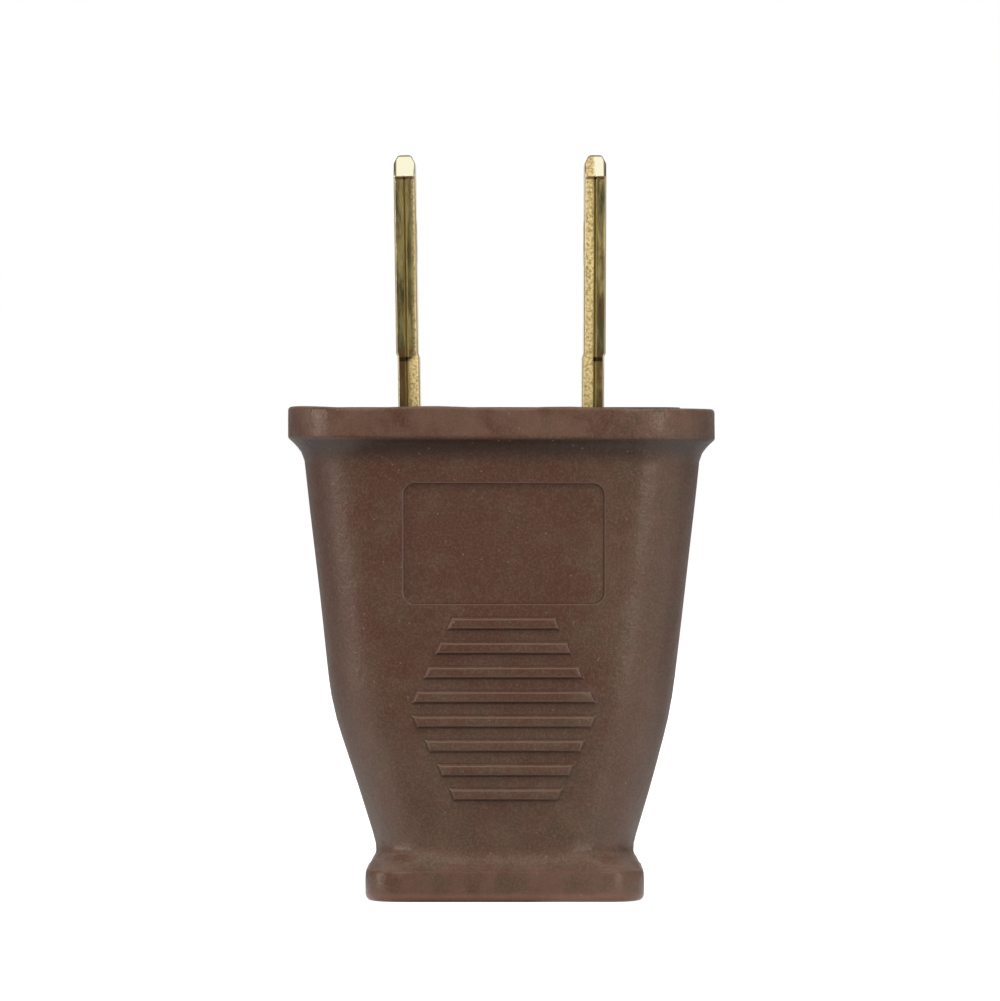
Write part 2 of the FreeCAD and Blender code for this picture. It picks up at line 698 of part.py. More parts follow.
def tooth_gaps(side):
    """The notches between the three teeth, seen from above."""
    tips = strip + tail_step + tooth_reach
    root_line = tips - size["tooth_depth"]
    beyond = tips + size["tooth_depth"]
    pitch = size["tooth_pitch"]
    edge = size["tail_width"] / 2 + size["slot_side_gap"]
    teeth = [(root_line, edge), (root_line, pitch * 1.5)]
    for tooth in (1, 0, -1):
        teeth.append((tips, pitch * tooth))
        teeth.append((root_line, pitch * (tooth - 0.5)))
    teeth.append((root_line, -edge))
    outline = teeth + [(beyond, -edge), (beyond, edge)]
    return [(-x * side, y) for x, y in outline]


def seam_points(side, sign):
    """The section of the seam on one narrow side, midway between the layers above the crimp."""
    edge = size["blade_width"] / 2
    middle = size["crimp_step"] * side
    return [
        (middle - size["seam_width"] / 2, edge * sign),
        (middle, (edge - size["seam_depth"]) * sign),
        (middle + size["seam_width"] / 2, edge * sign),
        (middle, (edge + size["seam_depth"]) * sign),
    ]


def make_blade(name, side, lean):
    body = new_body(name)
    profile = new_sketch(body, f"{name}_profile", "XZ_Plane")
    draw_polygon(profile, blade_profile(side))
    extrude(body, "Pad", f"{name}_strip", profile, size["blade_width"], both_ways=True)

    reach = size["blade_spacing"] * 2
    trim = new_sketch(body, f"{name}_trim", "YZ_Plane")
    for sign in (1, -1):
        for outline in side_cuts(sign):
            draw_polygon(trim, outline)
    hole_height = size["cover_height"] + size["blade_hole_height"] - pivot_height
    draw_circle(trim, size["blade_hole"], 0.0, hole_height)
    extrude(body, "Pocket", f"{name}_outline", trim, reach, both_ways=True)

    notches = new_sketch(body, f"{name}_teeth_outline", "XY_Plane")
    draw_polygon(notches, tooth_gaps(side))
    extrude(body, "Pocket", f"{name}_teeth", notches, tail_length * 4, both_ways=True)

    seams = new_sketch(body, f"{name}_seam_outline", "XY_Plane", plate_half)
    for sign in (1, -1):
        draw_polygon(seams, seam_points(side, sign))
    extrude(body, "Pocket", f"{name}_seams", seams, blade_tip, backwards=True)

    stub = new_sketch(body, f"{name}_trunnion_outline", "XZ_Plane")
    draw_circle(stub, size["blade_thickness"], 0.0, 0.0)
    extrude(body, "Pad", f"{name}_trunnions", stub, trunnions_across, both_ways=True)

    body.Placement = FreeCAD.Placement(FreeCAD.Vector(0, 0, 0), FreeCAD.Rotation(FreeCAD.Vector(0, 1, 0), 0))
    bind(body, "Placement.Base.x", pivot_place * side)
    bind(body, "Placement.Base.z", pivot_height)
    bind(body, "Placement.Rotation.Angle", lean * side)
    return body


blade_left = make_blade("blade_left", -1, size["lean_left"])
blade_right = make_blade("blade_right", 1, size["lean_right"])


# The springs: bowed strips of spring steel, whose ends lie on the chamber's outer wall and whose crest bears on
# the middle of the tail's upright stretch.


def make_spring(name, side, lean):
    body = new_body(name)
    wall = chamber_side - size["spring_gap"]
    drop = (tail_bend + tail_length) / 2
    middle_z = pivot_height - drop
    half_chord = middle_z - cage_bottom - size["sill"] - size["spring_foot_gap"]
    tail_back = pivot_place - tail_step - drop * sine(lean)
    crest = tail_back + size["spring_gap"]
    bow = wall - crest
    radius = (half_chord * half_chord + bow * bow) / (bow * 2)
    inner_radius = radius - size["spring_thickness"]
    middle_x = (crest + radius) * side
    inner_end_z = root(inner_radius * inner_radius - (wall - crest - radius) * (wall - crest - radius))

    outline = new_sketch(body, f"{name}_outline", "XZ_Plane")
    arcs = []
    for bend_radius, ends in ((radius, half_chord), (inner_radius, inner_end_z)):
        reach = math.asin(ends.value / bend_radius.value)
        if wall.value > (crest + radius).value:
            reach = math.pi - reach
        facing = math.pi if side > 0 else 0.0
        spot = FreeCAD.Vector(middle_x.value, middle_z.value, 0)
        circle = Part.Circle(spot, FreeCAD.Vector(0, 0, 1), bend_radius.value)
        arc = outline.addGeometry(Part.ArcOfCircle(circle, facing - reach, facing + reach), False)
        low, high = (2, 1) if side > 0 else (1, 2)
        pin_point(outline, arc, 3, (middle_x, middle_z))
        pin_point(outline, arc, low, (wall * side, middle_z - ends))
        number = outline.addConstraint(
            Sketcher.Constraint("DistanceY", -1, 1, arc, high, (middle_z + ends).value)
        )
        outline.setExpression(f"Constraints[{number}]", (middle_z + ends).text)
        arcs.append(arc)
    for end in (1, 2):
        line = Part.LineSegment(outline.getPoint(arcs[0], end), outline.getPoint(arcs[1], end))
        edge = outline.addGeometry(line, False)
        outline.addConstraint(Sketcher.Constraint("Coincident", arcs[0], end, edge, 1))
        outline.addConstraint(Sketcher.Constraint("Coincident", edge, 2, arcs[1], end))
    extrude(body, "Pad", f"{name}_strip", outline, size["spring_width"], both_ways=True)
    return body


spring_left = make_spring("spring_left", -1, size["lean_left"])
spring_right = make_spring("spring_right", 1, size["lean_right"])

doc.recompute()
for thing in doc.Objects:
    if "Invalid" in thing.State or "Error" in thing.State:
        raise RuntimeError(f"{thing.Name} failed: {thing.State}")

for piece in (cover, core_front, core_back, blade_left, blade_right, spring_left, spring_right):
    shape = piece.Shape
    if shape.isNull() or not shape.isValid() or len(shape.Solids) != 1:
        raise RuntimeError(f"{piece.Label} is not one valid solid: {len(shape.Solids)} solids")
    box = shape.BoundBox
    print(
        f"{piece.Label:14s} {shape.Volume:9.2f} mm3  x {box.XMin:.2f} {box.XMax:.2f}"
        f"  y {box.YMin:.2f} {box.YMax:.2f}  z {box.ZMin:.2f} {box.ZMax:.2f}"
    )
    shape.exportStep(f"parts/{piece.Label}.step")
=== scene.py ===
import math

import bmesh
import bpy
from mathutils import Matrix, Vector, noise


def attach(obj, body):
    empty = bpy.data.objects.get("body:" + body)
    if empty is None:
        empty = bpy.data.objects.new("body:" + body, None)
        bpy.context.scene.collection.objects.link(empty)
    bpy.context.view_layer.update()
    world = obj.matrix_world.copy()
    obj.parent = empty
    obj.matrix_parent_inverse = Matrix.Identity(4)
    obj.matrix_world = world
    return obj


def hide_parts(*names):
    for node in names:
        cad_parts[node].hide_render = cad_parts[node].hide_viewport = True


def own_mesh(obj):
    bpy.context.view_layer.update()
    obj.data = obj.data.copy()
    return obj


# The plug stands on its cord end, blades up, with its label side towards the camera. Sizes below are
# written in millimetres, and MM turns them into the scene's metres.
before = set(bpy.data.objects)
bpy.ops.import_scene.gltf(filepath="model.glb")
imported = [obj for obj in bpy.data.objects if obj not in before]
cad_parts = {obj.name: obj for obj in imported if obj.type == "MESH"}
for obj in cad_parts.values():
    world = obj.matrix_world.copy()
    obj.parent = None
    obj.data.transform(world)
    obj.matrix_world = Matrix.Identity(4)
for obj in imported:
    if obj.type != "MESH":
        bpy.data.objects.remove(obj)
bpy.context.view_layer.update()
MM = 0.001


# The camera stands level and square in front of the label side, with a long lens as for a small product on a
# table, at half the height of the plug with its blades.
CAMERA_AWAY = 388.0
CAMERA_HEIGHT = 27.62
CAMERA_ASIDE = -0.09
LENS = 200.0
NEAREST_SEEN = 10.0
FARTHEST_SEEN = 20000.0

lens = bpy.data.cameras.new("camera")
lens.lens = LENS
lens.clip_start = NEAREST_SEEN * MM
lens.clip_end = FARTHEST_SEEN * MM
camera = bpy.data.objects.new("camera", lens)
bpy.context.scene.collection.objects.link(camera)
bpy.context.scene.camera = camera
camera.matrix_world = Matrix.Translation(
    (CAMERA_ASIDE * MM, -CAMERA_AWAY * MM, CAMERA_HEIGHT * MM)
) @ Matrix.Rotation(math.radians(90), 4, "X")
bpy.context.scene.view_settings.view_transform = "Standard"


# The table is a plain white sheet that runs out of sight. It shows white to the camera, and throws back no
# more light on the plug than pale paper does. In reflections it glows dim, and bright on its left and right
# sides in front, a painted glow that lights the side reflections on the metal and the skin. Its sizes are in
# metres, and its left and right sides are spans of X over the distance from the plug.
TABLE_REACH = 8.0
PAPER = 0.45
PAPER_GLOW = 0.86
FULL_GLOW = (0.12, 0.6)
METAL_GLOW = 0.08
SIDE_GLOW = 0.8
LEFT_SIDE = (0.7, 0.9)
RIGHT_SIDE = (0.3, 0.6)
FRONT_HALF = (-0.03, 0.01)


def tree_tools(tree):
    """Two short ways into a shader tree: add a node with its settings, and join two sockets."""

    def add(kind, **settings):
        node = tree.nodes.new(kind)
        for name, value in settings.items():
            if name in node.inputs:
                node.inputs[name].default_value = value
            else:
                setattr(node, name, value)
        return node

    def join(start, end):
        tree.links.new(start, end)

    return add, join


def new_material(name):
    material = bpy.data.materials.new(name)
    material.use_nodes = True
    material.node_tree.nodes.clear()
    add, join = tree_tools(material.node_tree)
    return material, add, join


def finish_material(add, join, shader):
    join(shader, add("ShaderNodeOutputMaterial").inputs["Surface"])


def step_up(add, join, value, low, high, top=1.0):
    """A value that rises smoothly from 0 at low to top at high."""
    step = add("ShaderNodeMapRange", interpolation_type="SMOOTHSTEP")
    join(value, step.inputs["Value"])
    step.inputs["From Min"].default_value = low
    step.inputs["From Max"].default_value = high
    step.inputs["To Max"].default_value = top
    return step.outputs["Result"]


def calculate(add, join, operation, first, second=None):
    """A Math node of two values, each a socket or a number."""
    node = add("ShaderNodeMath", operation=operation)
    for socket, value in zip(node.inputs, (first, second)):
        if isinstance(value, (int, float)):
            socket.default_value = value
        elif value is not None:
            join(value, socket)
    return node.outputs[0]


def table_paper():
    """White paper: shaded under the plug, and glowing enough to show as plain white elsewhere."""
    material, add, join = new_material("white_paper")
    paper = add("ShaderNodeBsdfDiffuse", Color=(PAPER, PAPER, PAPER, 1))
    seen = add("ShaderNodeLightPath")
    away = add("ShaderNodeVectorMath", operation="LENGTH")
    join(add("ShaderNodeTexCoord").outputs["Object"], away.inputs[0])
    unlit = step_up(add, join, away.outputs["Value"], *FULL_GLOW, 1.0 - PAPER_GLOW)
    paper_glow = calculate(add, join, "ADD", unlit, PAPER_GLOW)
    in_camera = calculate(add, join, "MULTIPLY", seen.outputs["Is Camera Ray"], paper_glow)
    place = add("ShaderNodeSeparateXYZ")
    join(add("ShaderNodeTexCoord").outputs["Object"], place.inputs[0])
    turned = calculate(add, join, "DIVIDE", place.outputs["X"], away.outputs["Value"])
    to_left = step_up(add, join, calculate(add, join, "SUBTRACT", 0.0, turned), *LEFT_SIDE)
    to_right = step_up(add, join, turned, *RIGHT_SIDE)
    forward = calculate(add, join, "SUBTRACT", 0.0, place.outputs["Y"])
    in_front = step_up(add, join, forward, *FRONT_HALF)
    beside = calculate(add, join, "MULTIPLY", calculate(add, join, "MAXIMUM", to_left, to_right), in_front)
    mirrored = calculate(add, join, "ADD", calculate(add, join, "MULTIPLY", beside, SIDE_GLOW), METAL_GLOW)
    in_metal = calculate(add, join, "MULTIPLY", seen.outputs["Is Glossy Ray"], mirrored)
    glow = add("ShaderNodeEmission", Color=(1, 1, 1, 1))
    join(calculate(add, join, "MAXIMUM", in_camera, in_metal), glow.inputs["Strength"])
    both = add("ShaderNodeAddShader")
    join(paper.outputs[0], both.inputs[0])
    join(glow.outputs[0], both.inputs[1])
    finish_material(add, join, both.outputs[0])
    return material


def make_table():
    shape = bmesh.new()
    bmesh.ops.create_grid(shape, x_segments=1, y_segments=1, size=TABLE_REACH)
    mesh = bpy.data.meshes.new("table")
    shape.to_mesh(mesh)
    shape.free()
    mesh.materials.append(table_paper())
    table = bpy.data.objects.new("table", mesh)
    bpy.context.scene.collection.objects.link(table)
    return table


make_table()


# The room is a studio: white straight behind the plug and overhead, with a pale panel on each side, and dim
# elsewhere, so that the brass has dark and light to show. Its parts are spans of a direction's X, Y or Z.
ROOM_LIGHT = 0.10
ROOM_DIM = 0.34
SIDE_PANELS = 1.0
BACKDROP = (0.93, 0.98)
CEILING = (0.45, 0.8)
PANELS_ASIDE = (0.8, 0.95)
PANELS_FORWARD = (-0.12, 0.08)


def light_room():
    world = bpy.data.worlds.new("pale_room")
    bpy.context.scene.world = world
    world.use_nodes = True
    world.node_tree.nodes.clear()
    add, join = tree_tools(world.node_tree)
    seen = add("ShaderNodeLightPath")
    way = add("ShaderNodeSeparateXYZ")
    join(add("ShaderNodeTexCoord").outputs["Generated"], way.inputs[0])
    sheet = step_up(add, join, way.outputs["Y"], *BACKDROP)
    overhead = step_up(add, join, way.outputs["Z"], *CEILING)
    aside = calculate(add, join, "ABSOLUTE", way.outputs["X"])
    forward = calculate(add, join, "SUBTRACT", 0.0, way.outputs["Y"])
    in_front = step_up(add, join, forward, *PANELS_FORWARD)
    panels = calculate(add, join, "MULTIPLY", step_up(add, join, aside, *PANELS_ASIDE, SIDE_PANELS), in_front)
    bright = calculate(add, join, "MAXIMUM", calculate(add, join, "MAXIMUM", sheet, overhead), panels)
    mirrored = calculate(add, join, "MAXIMUM", bright, ROOM_DIM)
    in_metal = calculate(add, join, "MULTIPLY", seen.outputs["Is Glossy Ray"], mirrored)
    not_mirrored = calculate(add, join, "SUBTRACT", 1.0, seen.outputs["Is Glossy Ray"])
    on_skin = calculate(add, join, "MULTIPLY", not_mirrored, ROOM_LIGHT)
    lit = calculate(add, join, "MAXIMUM", in_metal, on_skin)
    sky = add("ShaderNodeBackground", Color=(1, 1, 1, 1))
    join(calculate(add, join, "MAXIMUM", seen.outputs["Is Camera Ray"], lit), sky.inputs["Strength"])
    join(sky.outputs[0], add("ShaderNodeOutputWorld").inputs["Surface"])


light_room()


# Four softboxes stand round the plug: a large one high in front, one high behind, a narrow strip far to the
# left and a box in front on the right. The strip and the box draw the sheen along the body's two sides.
LAMPS_AIM = 20.0


def add_lamp(name, place, width, height, power, mirrored=True):
    """A rectangular softbox that faces the plug, at a place in millimetres. It doesn't show to the camera."""
    data = bpy.data.lights.new(name, "AREA")
    data.shape = "RECTANGLE"
    data.size = width * MM
    data.size_y = height * MM
    data.energy = power
    lamp = bpy.data.objects.new(name, data)
    bpy.context.scene.collection.objects.link(lamp)
    place = Vector(place) * MM
    way = Vector((0, 0, LAMPS_AIM * MM)) - place
    lamp.matrix_world = Matrix.Translation(place) @ way.to_track_quat("-Z", "Y").to_matrix().to_4x4()
    lamp.visible_camera = False
    lamp.visible_glossy = mirrored


add_lamp("top_box", (-40, -270, 470), 600, 380, 2.4, mirrored=False)
add_lamp("back_box", (-20, 420, 330), 500, 300, 1.7, mirrored=False)
add_lamp("left_strip", (-530, -170, 90), 70, 300, 0.75)
add_lamp("right_box", (285, -475, 100), 120, 300, 0.83)


# The cover is one soft vinyl moulding, drawn hot over its core, so its edges are a little rounded, its rim
# waves and its foot stands slightly askew. The skin is matt and finely grained, with greyer clouds, moss and
# specks of dust, and paler worn edges. Painted sheen greys it low down and on the right, painted light
# brightens the rim and the foot, painted highlights run along its rounded edges, and painted shade darkens
# the crease under the rim and the corners round the grip bars and the label panel.
FACE_ROUND = 0.09
EDGE_ROUND = 0.14
BLOCK_PITCH = 1.5
SAME_POINT = 0.0005
ON_THE_CUT = 0.002
FLAT_TURN = 0.5
CRISP_TURN = 38
SHADING_WEIGHT = 80
MELT_ROUNDS = 3
MELT_ASIDE = 7.2
MELT_HEIGHTS = (1.9, 4.4)
FOOT_DRIFT = 0.24
DRIFT_ENDS = (4, 16)
FACE_TWIST = 0.026
TWIST_STARTS = (5, 8)
TWIST_ENDS = (29, 33)
OFF_FLOOR = (0.1, 1.5)
RIM_WAVE = 0.07
WAVE_SHARES = (0.5, 0.8, 1.2)
WAVE_LENGTH = 7.5
WAVE_SEED = 1
RIM_STARTS = (27, 33)
RIM_TILT = 0.0055
RIM_TOP = (32.8, 33.8)
RIM_SWELL = 0.095
RIM_DIPS = 0.6
DIP_PITCH = 9.4
DIP_PLACE = 0.4
FACE_DETAIL_BOX = (8, 5, 5, 29.5)
OPENING_HEIGHTS = (0.1, 33.5)

# Colours of the skin: its own browns, and browns that stand for painted sheen, painted light from above and
# from the table, and painted shade.
RED_BROWN = (0.086, 0.0315, 0.0175, 1)
GREY_AND_SHEEN_BROWN = (0.124, 0.070, 0.046, 1)
OLIVE_BROWN = (0.084, 0.054, 0.030, 1)
SHADE_BROWN = (0.030, 0.013, 0.009, 1)
PAINTED_LIGHT_BROWN = (0.165, 0.084, 0.055, 1)
FOOT_BOUNCE_BROWN = (0.27, 0.13, 0.085, 1)
PALE_GRAIN_AND_HIGHLIGHT = (0.170, 0.102, 0.072, 1)
DUST = (0.27, 0.21, 0.17, 1)
SHEEN = (1.0, 0.84, 0.74, 1)
# Heights and spans in millimetres where painted sheen greys the skin, painted light brightens the foot and
# the rim, and painted shade lies under the rim.
SHEEN_GREY_BELOW = (6, 21)
SHEEN_GREY_RIGHT_OF = (4.5, 8)
FOOT_LIGHT_BELOW = (2.0, 2.6)
RIM_LIGHT_ABOVE = (31.9, 32.2)
FOOT_BOUNCE_BELOW = (0.25, 0.8)
RIM_SHADE_STARTS = (29.9, 31.4)
RIM_SHADE_ENDS = (31.75, 31.9)
CLOUD_SIZE = 2.8
MOSS_SIZE = 1.9
GRAIN_SIZE = 0.17
SPECK_PITCH = 0.62
SPECK_EDGE = (-0.15, -0.06)
SPECKS_LEFT_OUT = 0.66
FINE_RELIEF = 0.24
COARSE_RELIEF = 1.1
VINYL_RELIEF_DEPTH = 0.028
VINYL_ROUGHNESS = 0.3
CLOUDY_ROUGHNESS = 0.12


def own_copy(node):
    """A merged copy of a CAD node's mesh, as a bmesh, for a piece that stands for that node."""
    shape = bmesh.new()
    shape.from_mesh(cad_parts[node].data)
    bmesh.ops.remove_doubles(shape, verts=shape.verts, dist=SAME_POINT * MM)
    flat = math.radians(FLAT_TURN)
    bmesh.ops.dissolve_limit(shape, angle_limit=flat, verts=shape.verts, edges=shape.edges)
    return shape


def round_edges(shape, width, wanted, segments=2):
    """Bevel the edges of a bmesh that a test picks, by a width in millimetres.

    The new faces are marked 1 on outward edges, for wear and painted highlight, and -1 in corners, for
    painted shade.
    """
    worn = shape.faces.layers.float.get("edge_wear_and_shade") or shape.faces.layers.float.new("edge_wear_and_shade")
    picked = [edge for edge in shape.edges if edge.is_manifold and wanted(edge)]
    rounded = bmesh.ops.bevel(
        shape,
        geom=picked,
        offset=width * MM,
        offset_type="OFFSET",
        affect="EDGES",
        segments=segments,
        profile=0.5,
        material=-1,
        clamp_overlap=True,
    )
    for face in rounded["faces"]:
        turn = sum(edge.calc_face_angle_signed() for edge in face.edges if edge.is_manifold)
        face[worn] = 1.0 if turn > 0 else -1.0


def turn_of(edge):
    return math.degrees(edge.calc_face_angle())


def middle_of(edge):
    return (edge.verts[0].co + edge.verts[1].co) / 2 / MM


def cut_across(shape, place, normal):
    """Cut a bmesh in two along a plane, and keep both sides."""
    everything = shape.verts[:] + shape.edges[:] + shape.faces[:]
    bmesh.ops.bisect_plane(shape, geom=everything, dist=ON_THE_CUT * MM, plane_co=place, plane_no=normal)


def slice_up(shape, pitch):
    """Cut a bmesh into blocks along its three directions, so that it can bend."""
    for axis in range(3):
        normal = Vector([1.0 if way == axis else 0.0 for way in range(3)])
        reach = [vert.co[axis] for vert in shape.verts]
        place = min(reach) + pitch * MM
        while place < max(reach):
            cut_across(shape, normal * place, normal)
            place += pitch * MM


def ease(value, low, high):
    """0 below low, 1 above high and a smooth step between."""
    share = min(max((value - low) / (high - low), 0.0), 1.0)
    return share * share * (3 - 2 * share)


def melt_foot_corners(shape):
    """Let the ledge above the foot run out into the neck at the four corners."""
    low, high = MELT_HEIGHTS
    corners = [
        vert
        for vert in shape.verts
        if abs(vert.co.x) > MELT_ASIDE * MM and low * MM < vert.co.z < high * MM
    ]
    for _ in range(MELT_ROUNDS):
        bmesh.ops.smooth_vert(
            shape, verts=corners, factor=0.5, use_axis_x=True, use_axis_y=True, use_axis_z=True
        )


def soften_cover(shape):
    """Shift and wave the moulding as soft vinyl sets: foot to the right, details too, and the rim wavy."""
    noise.seed_set(WAVE_SEED)
    for vert in shape.verts:
        x, y, z = vert.co / MM
        off_floor = ease(z, *OFF_FLOOR)
        x += FOOT_DRIFT * (1 - ease(z, *DRIFT_ENDS))
        x -= FACE_TWIST * y * (1 - ease(z, *TWIST_ENDS)) * ease(z, *TWIST_STARTS)
        wave = noise.noise_vector(Vector((x, y, z)) / WAVE_LENGTH)
        x += wave.x * RIM_WAVE * WAVE_SHARES[0] * off_floor
        y += wave.y * RIM_WAVE * WAVE_SHARES[1] * off_floor
        z += (wave.z * RIM_WAVE * WAVE_SHARES[2] - RIM_TILT * x) * ease(z, *RIM_STARTS)
        swell = 1 - RIM_DIPS * math.cos(2 * math.pi * (x + DIP_PLACE) / DIP_PITCH)
        z += RIM_SWELL * swell * ease(z, *RIM_TOP)
        vert.co = Vector((x, y, z)) * MM


def put_piece(shape, name, material, body, node):
    """Make a piece of a finished bmesh, which rides with a body and stands for a CAD node."""
    for edge in shape.edges:
        edge.smooth = not edge.is_manifold or turn_of(edge) < CRISP_TURN
    mesh = bpy.data.meshes.new(name)
    shape.to_mesh(mesh)
    shape.free()
    for face in mesh.polygons:
        face.use_smooth = True
    mesh.materials.append(material)
    piece = bpy.data.objects.new(name, mesh)
    bpy.context.scene.collection.objects.link(piece)
    evened = piece.modifiers.new("even_shading", "WEIGHTED_NORMAL")
    evened.keep_sharp = True
    evened.weight = SHADING_WEIGHT
    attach(piece, body)
    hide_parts(node)
    return piece


def rise_over(add, join, value, span, top=1.0):
    """A value that rises smoothly from 0 to top over a span in millimetres."""
    return step_up(add, join, value, span[0] * MM, span[1] * MM, top)


def fall_over(add, join, value, span, top=1.0):
    """A value that falls smoothly from top to 0 over a span in millimetres."""
    turned = calculate(add, join, "SUBTRACT", 0.0, value)
    return step_up(add, join, turned, -span[1] * MM, -span[0] * MM, top)


def noise_of(add, join, place, size, detail=2.0, roughness=0.55):
    """Noise whose blotches are about a size in millimetres across."""
    node = add("ShaderNodeTexNoise", Scale=1 / (size * MM), Detail=detail, Roughness=roughness)
    join(place, node.inputs["Vector"])
    return node.outputs["Fac"]


def mix_colours(add, join, share, first, second):
    """A mix of two colours, each a socket or four numbers."""
    node = add("ShaderNodeMix", data_type="RGBA")
    join(share, node.inputs[0])
    for socket, colour in ((node.inputs[6], first), (node.inputs[7], second)):
        if isinstance(colour, tuple):
            socket.default_value = colour
        else:
            join(colour, socket)
    return node.outputs[2]


def vinyl():
    """Brown vinyl: two shades in clouds, mossy and dusty places and a grained skin, with painted sheen, light
    and shade.
    """
    material, add, join = new_material("brown_vinyl")
    place = add("ShaderNodeTexCoord").outputs["Object"]
    split = add("ShaderNodeSeparateXYZ")
    join(place, split.inputs[0])
    height = split.outputs["Z"]

    # Red brown in the middle of the face, greyer in clouds, and greyed low down and on the right by painted
    # sheen.
    clouds = noise_of(add, join, place, CLOUD_SIZE, 4.0, 0.65)
    sheen_low_down = fall_over(add, join, height, SHEEN_GREY_BELOW, 0.6)
    to_right = rise_over(add, join, split.outputs["X"], SHEEN_GREY_RIGHT_OF, 0.55)
    painted_sheen = calculate(add, join, "MAXIMUM", sheen_low_down, to_right)
    patchy = calculate(add, join, "MULTIPLY", calculate(add, join, "SUBTRACT", clouds, 0.5), 1.9)
    grey_and_sheen = calculate(add, join, "ADD", painted_sheen, patchy)
    grey_and_sheen = calculate(add, join, "MINIMUM", calculate(add, join, "MAXIMUM", grey_and_sheen, 0.0), 1.0)
    skin_colour = mix_colours(add, join, grey_and_sheen, RED_BROWN, GREY_AND_SHEEN_BROWN)

    # Painted light on the foot and the rim, in patches, and mossy where the skin is grey.
    foot_painted_light = fall_over(add, join, height, FOOT_LIGHT_BELOW, 0.85)
    rim_painted_light = rise_over(add, join, height, RIM_LIGHT_ABOVE, 0.75)
    painted_light = calculate(add, join, "MAXIMUM", foot_painted_light, rim_painted_light)
    painted_light = calculate(add, join, "MULTIPLY", painted_light, step_up(add, join, clouds, 0.3, 0.58))
    skin_colour = mix_colours(add, join, painted_light, skin_colour, PAINTED_LIGHT_BROWN)
    mossy = step_up(add, join, noise_of(add, join, place, MOSS_SIZE, 3.0, 0.6), 0.44, 0.66, 0.75)
    mossy = calculate(add, join, "MULTIPLY", mossy, calculate(add, join, "ADD", grey_and_sheen, 0.35))
    skin_colour = mix_colours(add, join, mossy, skin_colour, OLIVE_BROWN)
    # Painted light from the table, paler along the foot's lowest edge.
    foot_bounce = fall_over(add, join, height, FOOT_BOUNCE_BELOW, 0.8)
    skin_colour = mix_colours(add, join, foot_bounce, skin_colour, FOOT_BOUNCE_BROWN)

    # Painted shade in the crease under the rim.
    under_rim = rise_over(add, join, height, RIM_SHADE_STARTS)
    past_lip = rise_over(add, join, height, RIM_SHADE_ENDS)
    rim_shade = calculate(add, join, "SUBTRACT", under_rim, past_lip)
    rim_shade = calculate(add, join, "MULTIPLY", calculate(add, join, "MAXIMUM", rim_shade, 0.0), 0.95)
    skin_colour = mix_colours(add, join, rim_shade, skin_colour, SHADE_BROWN)

    # Pale grain outside the painted shade under the rim, and a few specks of dust.
    grain = step_up(add, join, noise_of(add, join, place, GRAIN_SIZE, 3.0, 0.7), 0.42, 0.66)
    grain_depth = calculate(add, join, "ADD", 0.4, calculate(add, join, "MULTIPLY", grey_and_sheen, 0.35))
    grain_share = calculate(add, join, "MULTIPLY", grain, grain_depth)
    off_rim_shade = calculate(add, join, "SUBTRACT", 1.0, calculate(add, join, "MULTIPLY", rim_shade, 0.8))
    grain_share = calculate(add, join, "MULTIPLY", grain_share, off_rim_shade)
    skin_colour = mix_colours(add, join, grain_share, skin_colour, PALE_GRAIN_AND_HIGHLIGHT)
    cells = add("ShaderNodeTexVoronoi", Scale=1 / (SPECK_PITCH * MM))
    join(place, cells.inputs["Vector"])
    near = calculate(add, join, "SUBTRACT", 0.0, cells.outputs["Distance"])
    near = step_up(add, join, near, *SPECK_EDGE)
    pick = add("ShaderNodeSeparateColor")
    join(cells.outputs["Color"], pick.inputs[0])
    rare = calculate(add, join, "GREATER_THAN", pick.outputs[0], SPECKS_LEFT_OUT)
    speck = calculate(add, join, "MULTIPLY", calculate(add, join, "MULTIPLY", near, rare), 0.45)
    skin_colour = mix_colours(add, join, speck, skin_colour, DUST)

    # Paler on the rounded edges, as wear and painted highlight, and painted shade in the corners.
    worn = add("ShaderNodeAttribute", attribute_name="edge_wear_and_shade").outputs["Fac"]
    worn_and_lit_edge = calculate(add, join, "MULTIPLY", calculate(add, join, "MAXIMUM", worn, 0.0), 0.75)
    skin_colour = mix_colours(add, join, worn_and_lit_edge, skin_colour, PALE_GRAIN_AND_HIGHLIGHT)
    corner_shade = calculate(add, join, "MAXIMUM", calculate(add, join, "MULTIPLY", worn, -0.55), 0.0)
    skin_colour = mix_colours(add, join, corner_shade, skin_colour, SHADE_BROWN)

    fine = noise_of(add, join, place, FINE_RELIEF, 2.0, 0.6)
    coarse = noise_of(add, join, place, COARSE_RELIEF)
    rise = calculate(add, join, "ADD", fine, calculate(add, join, "MULTIPLY", coarse, 2.0))
    bump = add("ShaderNodeBump", Strength=0.9, Distance=VINYL_RELIEF_DEPTH * MM)
    join(rise, bump.inputs["Height"])
    skin = add("ShaderNodeBsdfPrincipled")
    skin.inputs["Specular IOR Level"].default_value = 0.5
    skin.inputs["Specular Tint"].default_value = SHEEN
    cloudy = calculate(add, join, "MULTIPLY", clouds, CLOUDY_ROUGHNESS)
    join(calculate(add, join, "ADD", VINYL_ROUGHNESS, cloudy), skin.inputs["Roughness"])
    join(skin_colour, skin.inputs["Base Color"])
    join(bump.outputs[0], skin.inputs["Normal"])
    finish_material(add, join, skin.outputs[0])
    return material


def on_face_detail(edge):
    """The edges of the grip bars and of the label panel."""
    aside, forward, low, high = FACE_DETAIL_BOX
    spot = middle_of(edge)
    return turn_of(edge) > 50 and abs(spot.y) > forward and abs(spot.x) < aside and low < spot.z < high


def on_openings(edge):
    """The crisp edges of the core's seat and of the cord slot."""
    low, high = OPENING_HEIGHTS
    spot = middle_of(edge)
    return turn_of(edge) > 75 and edge.calc_face_angle_signed() > 0 and (spot.z < low or spot.z > high)


